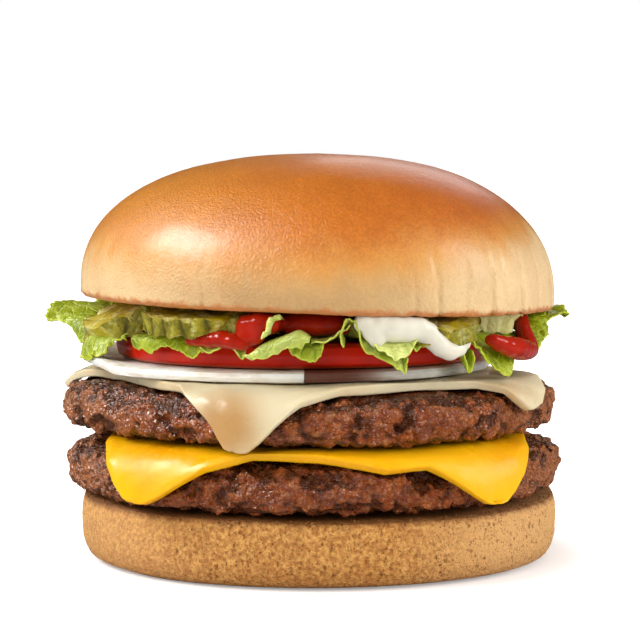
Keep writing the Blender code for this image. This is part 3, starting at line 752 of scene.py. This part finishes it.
def makeChip(node, name, thickness, turn, over, droop, pale, lift, aside=0.0, back=0.0):
    # a round chip whose faces are both cut in the same waves, and whose skin swells between them like a scallop
    low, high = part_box(node)
    centre, radius = (low + high) / 2 + Vector((aside, back, 0)) * mm, (high.x - low.x) / 2
    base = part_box("tomato_slice")[1].z + 1.2 * mm + over * mm
    rings, columns = (0.0, 0.3, 0.55, 0.75, 0.88, 0.955, 1.0), 96
    angle = math.radians(turn)
    deselectAll()
    bpy.ops.mesh.primitive_grid_add(x_subdivisions=columns, y_subdivisions=len(rings) - 1, size=2)
    piece = named(name)
    for vert in piece.data.vertices:
        share = rings[round((vert.co.y + 1) / 2 * (len(rings) - 1))]
        around = (vert.co.x + 1) * math.pi
        x, y = math.cos(around) * share * radius, math.sin(around) * share * radius
        across = x * math.cos(angle) + y * math.sin(angle)
        wave = math.sin(math.tau * across / pickle["wave"])
        stretch = 1 + share ** 6 * pickle["lobe"] / radius * (0.5 + 0.5 * wave)
        flat = Vector((centre.x + x * stretch, centre.y + y * stretch))
        past = flat.length - 42 * mm
        share = min(1.0, max(0.0, past / (9 * mm)))
        fall = droop * mm * share * share * (3 - 2 * share)
        inner = 0.5 - (flat - centre.xy).dot(centre.xy.normalized()) / radius / 2
        rise = lift * mm * inner - fall
        vert.co = (flat.x, flat.y, base + pickle["swing"] * (1 + wave) + thickness * mm / 2 + rise)
    bpy.ops.object.mode_set(mode="EDIT")
    bpy.ops.mesh.select_all(action="SELECT")
    bpy.ops.mesh.remove_doubles(threshold=0.00002)
    bpy.ops.mesh.normals_make_consistent(inside=False)
    bpy.ops.object.mode_set(mode="OBJECT")
    modify(piece, "SOLIDIFY", thickness=thickness * mm, offset=0.0)
    softEdged(piece, 0.3 * mm)
    refine(piece, lambda face: abs(face.normal.z) < 0.6, 3)
    subdivided(piece, 1)
    shaped(piece, chipRelief(node, turn, centre))
    return serve(piece, pickleMaterial(name + "Flesh", pale), "pickle", node)


def chipRelief(node, turn, centre):
    # the skin bulges between the two cut faces, most at the crest of each wave, and is warty
    tree, source, place, normal = reliefGroup(node + "Skin")
    x, y, z = parts(tree, place)
    angle = math.radians(turn)
    across = total(tree, calc(tree, "MULTIPLY", calc(tree, "SUBTRACT", x, centre.x), math.cos(angle)),
                   calc(tree, "MULTIPLY", calc(tree, "SUBTRACT", y, centre.y), math.sin(angle)))
    crest = calc(tree, "ABSOLUTE", calc(tree, "COSINE", calc(tree, "MULTIPLY", across, math.pi / pickle["wave"])))
    side = spread(tree, calc(tree, "ABSOLUTE", parts(tree, normal)[2]), 0.35, 0.75, 1.0, 0.0)
    warts = wavy(tree, grain(tree, place, 800.0, 2.0), pickle["wart"])
    swell = calc(tree, "MULTIPLY", total(tree, calc(tree, "MULTIPLY", crest, pickle["lobe"]), warts), side)
    ripple = calc(tree, "MULTIPLY", wavy(tree, grain(tree, place, 330.0, 2.0), 0.25 * mm), calc(tree, "SUBTRACT", 1.0, side))
    for name, value in (("side", side), ("crest", crest)):
        inputs = {"Geometry": source, "Name": name, "Value": value}
        source = put(tree, "GeometryNodeStoreNamedAttribute", inputs, data_type="FLOAT", domain="POINT").outputs[0]
    return finishRelief(tree, source, normal, total(tree, swell, ripple))


def makePickles():
    for number, (node, values) in enumerate(pickle["chips"].items(), start=1):
        makeChip(node, f"pickleChip{number}", *values)


lettuce = {
    "leaf": seen(140, 154, 10), "leafDark": seen(98, 116, 6), "rib": seen(228, 234, 146), "edge": seen(186, 196, 56),
    "vein": seen(180, 192, 66),
}


def lettuceMaterial():
    material, tree, shader, place = newMaterial(
        "crispLettuce", Roughness=0.36, Specular_IOR_Level=0.4, Coat_Weight=0.12, Coat_Roughness=0.15,
        Subsurface_Weight=0.3, Subsurface_Radius=(0.8, 1.0, 0.3), Subsurface_Scale=0.001)
    colour = mottled(tree, place, lettuce["leafDark"], lettuce["leaf"], 170.0, 0.3, 0.55)
    webbed = put(tree, "ShaderNodeTexVoronoi", {"Vector": warped(tree, place, 300.0, 2.5 * mm), "Scale": 330.0},
                 feature="DISTANCE_TO_EDGE").outputs[0]
    veins = spread(tree, webbed, 0.02, 0.12, 0.45, 0.0)
    colour = blend(tree, veins, colour, lettuce["vein"])
    colour = blend(tree, calc(tree, "MULTIPLY", attributeOf(tree, "edge"), 0.8), colour, lettuce["edge"])
    colour = blend(tree, attributeOf(tree, "rib"), colour, lettuce["rib"])
    tree.links.new(colour, shader.inputs["Base Color"])
    setBump(tree, shader, total(tree, grain(tree, place, 420.0, 4.0, 0.6), calc(tree, "MULTIPLY", veins, -0.5)), 0.0007)
    return material


def leaf(name, node, guides, pale=0.0, frill=0.8, teeth=0.7, rows=14, pitch=0.4, seed=0.0, root=30.0, thickness=0.4):
    # each guide runs from inside the burger over the tomato to the leaf's torn edge: azimuth, radius and height in mm
    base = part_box("tomato_slice")[1].z / mm + 0.7
    lines = [[(guide[0][0], root, base), *guide] for guide in guides]
    length = sum((turned(a[-1]) - turned(b[-1])).length for a, b in zip(guides, guides[1:]))
    columns = max(6, int(length / pitch))
    deselectAll()
    bpy.ops.mesh.primitive_grid_add(x_subdivisions=columns, y_subdivisions=rows * 2, size=2)
    piece = named(name)
    edge = piece.data.attributes.new("edge", "FLOAT", "POINT")
    rib = piece.data.attributes.new("rib", "FLOAT", "POINT")
    for index, point in enumerate(piece.data.vertices):
        across, along = (point.co.x + 1) / 2, (point.co.y + 1) / 2
        spot = curve([curve(line, along) for line in lines], across)
        out = max(0.0, (along - 0.45) / 0.55)
        wobble = noise.noise(Vector((across * length / 3.2, along * 1.5, seed)))
        wobble += 0.6 * noise.noise(Vector((across * length / 1.3, along * 3, seed + 7)))
        nip = noise.noise(Vector((across * length / 0.9, 0.0, seed + 3)))
        spot.z += wobble * frill * out * out * 1.6 + nip * teeth * 0.8 * out ** 5
        spot.y += 0.6 * wobble * frill * out * out + nip * teeth * 1.2 * out ** 4
        point.co = turned(spot) * mm
        edge.data[index].value = out ** 8
        pith = max(0.0, noise.noise(Vector((across * length / 6.0, 2.0, seed + 11)))) * 0.5
        rib.data[index].value = min(1.0, pale * (0.7 + 0.5 * wobble) + pith * (1 - out))
    modify(piece, "SOLIDIFY", thickness=thickness * mm, offset=0.0)
    subdivided(piece, 1)
    return serve(piece, lettuceSkin, "lettuce", *([node] if node else []))


lettuceSkin = lettuceMaterial()

leaves = {
    "leafLeft": ("lettuce_left", 0.0, [
        ((-84, 48, 51.0), (-82, 52.0, 46.8)), ((-87, 49, 51.0), (-88, 53.5, 48.4)), ((-91, 50, 52.4), (-92, 56, 51.0)),
        ((-95, 50, 53.6), (-93.4, 61.0, 52.4)), ((-98, 50, 54.6), (-95, 61.0, 54.6)), ((-101, 50, 55.0), (-98, 58.5, 55.6)),
        ((-106, 48, 54.0), (-106, 53, 55.2))]),
    "leafLeftBack": ("lettuce_left_back", 0.0, [
        ((-112, 48, 53.0), (-109, 53.5, 54.4)), ((-117, 48, 54.4), (-111, 55, 56.8)), ((-122, 48, 54.8), (-118, 55, 57.2)),
        ((-130, 47, 54.0), (-128, 53, 55.0))]),
    "leafFrontLeft": ("lettuce_front_left", 0.0, [
        ((-78, 49, 51.0), (-77.5, 53.5, 46.0)), ((-74, 49, 51.0), (-73, 53.4, 44.8)), ((-70, 48, 51.0), (-67.5, 52.6, 45.0)),
        ((-67, 47, 51.0), (-64.5, 51.0, 46.4)), ((-64, 46, 51.0), (-63.5, 48.4, 48.6)), ((-60, 46, 50.8), (-59, 47.6, 49.2))]),
    "leafFrontBand": (None, 0.0, [
        ((-56, 46, 50.6), (-57, 47.4, 49.0)), ((-52, 46, 50.6), (-53, 47.6, 48.2)), ((-46, 46, 50.8), (-47.5, 48.2, 47.8)),
        ((-43, 46, 51.0), (-44, 48, 48.8)), ((-38, 46, 51.2), (-39, 49.0, 49.0)), ((-36, 46, 51.2), (-36, 49.5, 48.2)),
        ((-32, 46, 51.0), (-33.0, 50, 47.4)), ((-29.5, 46, 50.8), (-30, 50, 47.2)), ((-28.5, 46, 50.8), (-28.4, 50, 49.0))]),
    "leafFrontThin": (None, 0.3, [
        ((-29, 46, 50.2), (-29.4, 49.6, 48.4)), ((-26, 46, 50.3), (-26, 50, 48.3)), ((-22.5, 46, 50.4), (-22, 50, 49.2)),
        ((-19.5, 46, 50.2), (-19, 50, 48.0)), ((-18, 46, 50.0), (-17.6, 49.6, 47.6))]),
    "leafCentre": ("lettuce_centre", 0.45, [
        ((-15, 50.3, 48.6), (-17.5, 51.8, 47.6)), ((-14.2, 50.1, 49.6), (-15.2, 52.2, 47.2)),
        ((-12.2, 50, 50.6), (-12.6, 52.3, 47.6)), ((-8.4, 49.7, 51.9), (-9.8, 52.2, 48.4)),
        ((-6.4, 49.5, 52.6), (-7.6, 52, 49.4)), ((-4.9, 49.4, 53.1), (-5.8, 51.8, 50.1)),
        ((-3.4, 49, 52.6), (-3.6, 51.2, 50.8)), ((-2, 48.6, 51.6), (-2.2, 50.6, 51.0))]),
    "leafCentreStalk": (None, 0.7, [
        ((-11.6, 48, 52.4), (-13.2, 51.2, 51.2)), ((-11.2, 48.4, 53.6), (-12.2, 51.4, 52.4)),
        ((-10.6, 48.6, 54.8), (-11.4, 51.4, 54.2)), ((-10.0, 48.6, 55.8), (-10.6, 51.2, 55.8)),
        ((-9.0, 48.4, 56.0), (-8.6, 51.0, 55.9))]),
    "leafCentreLobe": (None, 0.1, [
        ((-8, 45, 51.0), (-8, 49.2, 50.6)), ((-5.4, 45, 51.0), (-6.0, 49.8, 48.4)), ((-3, 45, 51.0), (-3.6, 50, 47.2)),
        ((-1.6, 45, 51.0), (-1.2, 49.8, 46.8)), ((-0.4, 45, 51.0), (0.4, 49.4, 48.6)), ((1, 45, 51.0), (1.2, 48.6, 50.8))]),
    "leafCentreThin": (None, 0.5, [
        ((-2, 44, 51.0), (-2, 49.0, 51.4)), ((0.6, 44, 51.0), (1.0, 49.0, 50.8)), ((3.2, 44, 51.4), (3.6, 49.0, 51.8)),
        ((5.6, 44, 52.4), (6.0, 49.0, 53.4)), ((7.4, 44, 53.4), (7.8, 49.0, 54.8))]),
    "leafCurl": ("lettuce_front_right", 0.2, [
        ((6.6, 45, 51.2), (5.8, 49.4, 49.6)), ((6.0, 45, 52.5), (5.0, 49.6, 52.0)), ((7.4, 45, 54.4), (6.6, 49.8, 55.0)),
        ((8.6, 45, 54.6), (8.4, 50.2, 55.4)), ((9.4, 45, 53.4), (9.2, 50.6, 53.0)), ((11, 46, 51.6), (10.4, 50.8, 50.0)),
        ((14, 46, 51.2), (13.6, 51.2, 48.0)), ((17, 46, 50.8), (17.2, 51.6, 46.2)), ((19.2, 46, 50.6), (19.4, 51.8, 44.4)),
        ((20.2, 46, 50.8), (20.2, 51.8, 45.6)), ((20.6, 46, 51.0), (20.6, 51.6, 48.2))]),
    "leafLight": (None, 0.85, [
        ((12.6, 46, 52.0), (12.4, 51.6, 50.6)), ((14.4, 46, 52.0), (14.4, 52.4, 48.6)), ((16.8, 46, 52.0), (16.6, 53.0, 47.0)),
        ((19.4, 46, 52.2), (19.2, 53.0, 47.2)), ((21.4, 46, 52.4), (21.4, 52.4, 49.8)), ((22.6, 46, 52.6), (22.8, 51.8, 51.6))]),
    "leafSmall": ("lettuce_small", 0.1, [
        ((21.8, 45, 51.2), (21.8, 49.6, 50.0)), ((23.2, 45, 51.2), (23.2, 50.2, 48.6)), ((24.8, 45, 51.5), (24.6, 50.4, 49.6)),
        ((25.6, 45, 52.0), (25.2, 50.2, 52.2))]),
    "leafRightFront": ("lettuce_right_front", 0.0, [
        ((35.6, 43, 51.0), (35.6, 49.4, 49.6)), ((36.6, 43, 51.0), (36.6, 50, 46.8)), ((37.8, 43, 50.8), (38.0, 50.4, 44.4)),
        ((39.6, 43, 50.8), (39.6, 50.2, 44.8)), ((40.2, 43, 51.0), (40.0, 49.4, 47.8))]),
    "leafRightStrip": (None, 0.0, [
        ((38.6, 44, 52.0), (38.2, 50.0, 50.8)), ((40.8, 44, 51.6), (40.8, 50.2, 48.4)), ((43.4, 44, 51.2), (43.6, 50.4, 45.8)),
        ((46.4, 44, 51.0), (46.6, 50.8, 43.4)), ((49.6, 44, 51.0), (49.8, 51.2, 42.8)), ((52.6, 44, 51.0), (53.2, 51.0, 43.6)),
        ((54.6, 44, 51.0), (55.4, 50.2, 46.2))]),
    "leafRightSide": ("lettuce_right_side", 0.0, [
        ((58, 42, 51.0), (59, 48.4, 47.8)), ((63, 41, 51.0), (63, 49.4, 47.2)), ((70, 41, 51.0), (70, 49.6, 46.4)),
        ((77, 41, 51.0), (77, 49.5, 47.4))]),
    "leafRight": ("lettuce_right", 0.0, [
        ((73, 43, 51.5), (74, 48, 46.4)), ((78, 44, 51.5), (77, 49.5, 47.0)), ((82, 45, 52.0), (80, 50.6, 49.4)),
        ((86, 46, 52.6), (84, 50.8, 49.0)), ((90, 47, 53.2), (88.4, 51.0, 52.4)), ((94, 47, 53.6), (91, 55.4, 53.2)),
        ((98, 47, 53.6), (96, 54.8, 54.6)), ((104, 46, 53.2), (104, 50.6, 54.4)), ((108, 45, 52.6), (108, 49.6, 53.5))]),
    "leafBack": ("lettuce_back", 0.0, [
        ((112, 45, 51.0), (112, 50, 49.5)), ((124, 46, 51.4), (124, 52, 50.8)), ((136, 46, 51.0), (136, 51, 48.2)),
        ((148, 46, 51.4), (148, 52.5, 51.0)), ((160, 46, 51.0), (160, 51.5, 48.4)), ((172, 46, 51.2), (172, 52, 50.6)),
        ((184, 46, 51.4), (184, 51.5, 48.6)), ((196, 46, 51.0), (196, 52.5, 51.2)), ((208, 46, 51.0), (208, 51, 48.8)),
        ((218, 46, 51.0), (218, 50.5, 49.6))]),
}


def makeLettuce():
    for order, (name, (node, pale, guides)) in enumerate(leaves.items()):
        leaf(name, node, guides, pale, seed=order * 3.7)


sauce = {"ketchup": seen(164, 28, 5), "ketchupDeep": seen(132, 18, 3), "mayonnaise": seen(214, 209, 192)}


def sauceMaterial(name, colour, deep, depth):
    material, tree, shader, place = newMaterial(
        name, Roughness=0.2, Specular_IOR_Level=0.25, Coat_Weight=0.25, Coat_Roughness=0.04, Subsurface_Weight=depth,
        Subsurface_Radius=(1.4, 0.8, 0.6), Subsurface_Scale=0.001)
    tree.links.new(mottled(tree, place, colour, deep, 120.0, 0.4, 0.7), shader.inputs["Base Color"])
    setBump(tree, shader, grain(tree, place, 350.0, 2.0), 0.0002, 0.6)
    return material


def pour(name, drops, material, slot, *nodes, voxel=0.35, smooth=8):
    # a sauce is a chain of soft drops that run together: azimuth, radius and height, then width, depth and height
    made = []
    for azimuth, radius, height, *size in drops:
        deselectAll()
        place = turned((azimuth, radius, height)) * mm
        bpy.ops.mesh.primitive_uv_sphere_add(segments=20, ring_count=12, radius=0.5, location=place,
                                             scale=[side * mm for side in size], rotation=(0, 0, math.radians(azimuth)))
        made.append(bpy.context.object)
    piece = joined(made, name)
    modify(piece, "REMESH", mode="VOXEL", voxel_size=voxel * mm)
    modify(piece, "SMOOTH", factor=0.6, iterations=smooth)
    return serve(piece, material, slot, *nodes)


drops = {
    "ketchupPool": (
        (0, 2, 54.4, 36, 36, 6.6), (-13, 34, 54.2, 14, 20, 6.2), (-2, 36, 54.2, 14, 18, 6.4), (4, 36, 54.2, 12, 16, 6.2),
        (-6, 41.5, 54.0, 8, 9, 5.6), (-1, 42, 54.0, 8, 8, 5.4), (4, 42, 54.0, 8, 8, 5.2), (-14.5, 45, 54.4, 9, 8, 5.6),
        (-17.5, 48.2, 53.6, 5.4, 4.6, 5.6), (-14.5, 48.6, 54.2, 5.6, 4.6, 5.2), (-12, 48.2, 54.4, 4.6, 4, 4.4),
        (-17.8, 49.0, 51.4, 4.8, 3.4, 4.2), (-15.2, 49.0, 52.0, 4.2, 3.2, 4.0)),
    "ketchupLeft": (
        (-32, 48.4, 50.6, 3.4, 5.6, 2.6), (-29.5, 48.8, 51.0, 5.0, 5.8, 3.6), (-26.5, 48.9, 51.0, 5.2, 5.8, 3.9),
        (-23.6, 49.1, 51.2, 5.2, 5.8, 4.0), (-20.8, 49.2, 50.8, 5.0, 5.4, 3.6), (-18.6, 49.4, 50.2, 4.2, 4.2, 2.8)),
    "ketchupRight": (
        (75, 45.2, 54.0, 5.0, 3.4, 4.2), (73.4, 45.8, 52.6, 5.2, 3.6, 4.4), (72.2, 46.4, 51.0, 5.4, 3.6, 4.4),
        (71.2, 47.2, 49.4, 5.6, 3.8, 4.4), (70.2, 48.2, 47.8, 6.0, 3.8, 4.4), (68.2, 48.8, 46.9, 6.0, 4.0, 4.2),
        (65.6, 49.2, 46.9, 6.0, 4.2, 4.2), (63.0, 49.6, 47.1, 6.0, 4.6, 4.4), (60.2, 50.0, 47.4, 6.2, 4.8, 4.8),
        (57.4, 50.4, 47.7, 6.4, 4.8, 5.0), (54.6, 50.8, 48.1, 6.4, 4.8, 5.0), (51.6, 50.8, 48.6, 6.0, 4.6, 4.6),
        (48.8, 50.6, 49.3, 5.4, 4.4, 3.8), (46.4, 50.2, 50.2, 4.4, 4.0, 2.8)),
    "mayonnaiseDrip": (
        (11.0, 49.0, 54.6, 5.0, 5.0, 4.8), (12.6, 49.6, 52.8, 4.6, 4.6, 4.4), (13.6, 49.9, 51.2, 3.6, 3.8, 3.6),
        (14.8, 49.2, 54.0, 6.0, 5.6, 5.6), (17.8, 49.6, 53.4, 6.2, 5.8, 6.0), (21, 49.8, 53.2, 6.2, 5.6, 5.8),
        (24.0, 49.8, 53.2, 5.6, 5.2, 5.4), (26.4, 50.0, 52.2, 5.2, 4.8, 5.2), (28.2, 50.2, 50.8, 5.0, 4.6, 4.8),
        (29.8, 50.4, 49.4, 4.8, 4.4, 4.4), (32.2, 50.4, 48.4, 4.8, 4.2, 4.0), (34.8, 50.0, 48.8, 4.4, 4.0, 3.6),
        (37.0, 49.4, 49.8, 3.8, 3.6, 3.2), (38.6, 48.6, 50.8, 2.8, 3.0, 2.4)),
}


def makeSauces():
    red = sauceMaterial("ketchup", sauce["ketchup"], sauce["ketchupDeep"], 0.0)
    white = sauceMaterial("mayonnaise", sauce["mayonnaise"], seen(204, 198, 180), 0.3)
    for name, node, slot, material in (
        ("ketchupPool", "ketchup", "ketchup", red), ("ketchupLeft", "ketchup_left", "ketchup", red),
        ("ketchupRight", "ketchup_right", "ketchup", red), ("mayonnaiseDrip", "mayonnaise", "mayonnaise", white),
    ):
        pour(name, drops[name], material, slot, node, smooth=20 if name in ("mayonnaiseDrip", "ketchupRight") else 10)


studio = {
    "distance": 0.56, "height": 0.0891, "pitch": 3.782, "lens": 142.1, "aside": 0.00022,
    "key": 5.2, "keyShine": 5.2, "leftFill": 2.4, "front": 4.9, "right": 2.0, "rightFill": 5.5, "back": 0.3, "room": 0.4, "roomGloss": 0.07,
}


def areaLight(name, place, target, size, power, colour=(1.0, 1.0, 1.0)):
    deselectAll()
    bpy.ops.object.light_add(type="AREA", location=place)
    light = bpy.context.object
    light.name = name
    light.data.shape = "RECTANGLE"
    light.data.size, light.data.size_y = size
    light.data.energy = power
    light.data.color = colour
    light.rotation_euler = (Vector(target) - Vector(place)).to_track_quat("-Z", "Y").to_euler()
    return light


def makeStudio():
    deselectAll()
    bpy.ops.mesh.primitive_plane_add(size=30.0, location=(0, 0, 0))
    floor = named("floor")
    material, tree, shader, place = newMaterial("paleFloor", Roughness=0.9, Specular_IOR_Level=0.1)
    rays = put(tree, "ShaderNodeLightPath").outputs
    ray = rays["Is Camera Ray"]
    whiteness = blend(tree, rays["Is Glossy Ray"], (0.82, 0.82, 0.82, 1), (0.2, 0.2, 0.2, 1))
    tree.links.new(whiteness, shader.inputs["Base Color"])
    shader.inputs["Emission Color"].default_value = (1, 1, 1, 1)
    glow = spread(tree, outward(tree, place), 0.053, 0.072, 0.3, 1.0)
    tree.links.new(calc(tree, "MULTIPLY", ray, glow), shader.inputs["Emission Strength"])
    floor.data.materials.append(material)
    world = bpy.data.worlds.new("softRoom")
    world.use_nodes = True
    bpy.context.scene.world = world
    tree = world.node_tree
    shown = put(tree, "ShaderNodeBackground", {"Color": (1, 1, 1, 1), "Strength": 1.0})
    lit = tree.nodes["Background"]
    lit.inputs["Color"].default_value = (1.0, 0.98, 0.95, 1)
    rays = put(tree, "ShaderNodeLightPath").outputs
    strength = put(tree, "ShaderNodeMapRange", {"Value": rays["Is Glossy Ray"], "To Min": studio["room"],
                                                "To Max": studio["roomGloss"]}).outputs[0]
    tree.links.new(strength, lit.inputs["Strength"])
    mix = put(tree, "ShaderNodeMixShader", {0: rays["Is Camera Ray"], 1: lit.outputs[0], 2: shown.outputs[0]})
    tree.links.new(mix.outputs[0], tree.nodes["World Output"].inputs["Surface"])
    middle = Vector((0, 0, 0.05))
    for name, azimuth, elevation, distance, size, power, kind in (
        ("keyLight", -78, 40, 0.8, (0.6, 0.34), studio["key"], "both"),
        ("keyShine", -80, 45, 0.8, (0.44, 0.26), studio["keyShine"], "shine"),
        ("leftFill", -66, 12, 1.0, (0.5, 0.4), studio["leftFill"], "soft"),
        ("frontLight", -20, 28, 1.3, (0.9, 0.6), studio["front"], "soft"),
        ("rightLight", 84, 28, 0.8, (0.24, 0.42), studio["right"], "both"),
        ("rightFill", 68, 12, 1.0, (0.5, 0.4), studio["rightFill"], "soft"),
        ("backLight", 170, 22, 0.9, (0.3, 0.16), studio["back"], "both"),
    ):
        level = distance * math.cos(math.radians(elevation))
        place = turned((azimuth, level, middle.z + distance * math.sin(math.radians(elevation))))
        light = areaLight(name, place, middle, size, power)
        light.visible_glossy = kind != "soft"
        light.visible_diffuse = kind != "shine"
    deselectAll()
    bpy.ops.object.camera_add(location=(studio["aside"], -studio["distance"], studio["height"]))
    camera = bpy.context.object
    camera.rotation_euler = (math.radians(90 - studio["pitch"]), 0, 0)
    camera.data.lens = studio["lens"]
    camera.data.sensor_width = 36.0
    camera.data.clip_start = 0.05
    bpy.context.scene.camera = camera
    bpy.context.scene.view_settings.view_transform = "Standard"


makeHeel()
makeCrumbs()
makePatties()
makeCheese()
makeSalad()
makePickles()
makeLettuce()
makeSauces()
makeCrown()
makeStudio()
